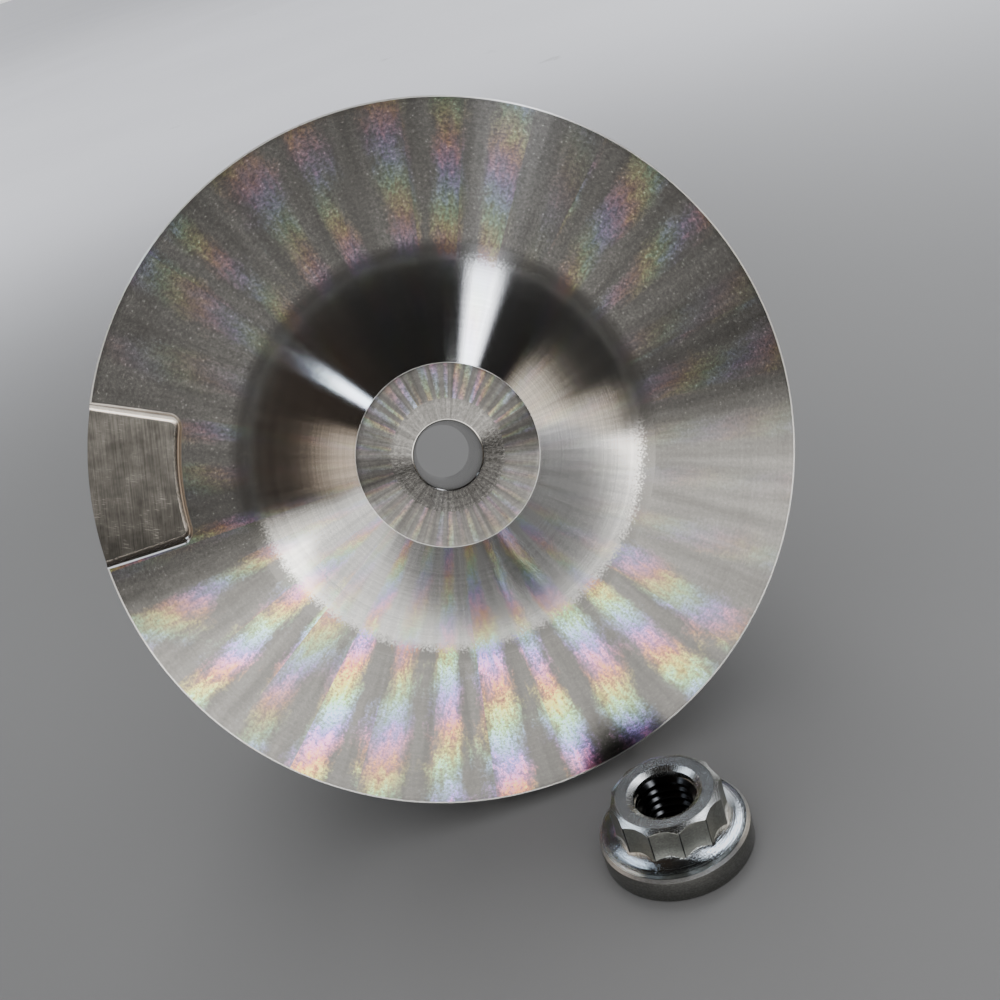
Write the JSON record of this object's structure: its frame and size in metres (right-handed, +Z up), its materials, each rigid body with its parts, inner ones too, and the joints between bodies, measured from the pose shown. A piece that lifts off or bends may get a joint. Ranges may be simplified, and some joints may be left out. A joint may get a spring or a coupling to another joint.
{
  "type": "turbocharger compressor wheel with its flange nut",
  "caption": "Radial compressor wheel with swept full and splitter blades, leaning on its blade tips, and the flange nut that holds it on its shaft.",
  "frame": {"origin": "on the floor, under the middle of the box round the wheel and the nut", "axes": "+Z up; the wheel's axis lies in the YZ plane, and its back face looks towards -Y and up, 23.3 degrees above the floor, with the nose towards +Y; the nut stands flat on the floor on the -Y side with its axis along Z"},
  "size_m": [0.098, 0.0982, 0.0919],
  "materials": {
    "wheel": "fine turned and milled aluminium, bright",
    "nut": "plated steel, satin"
  },
  "bodies": {
    "root": {"compressor_wheel": "wheel", "flange_nut": "nut"}
  },
  "joints": []
}
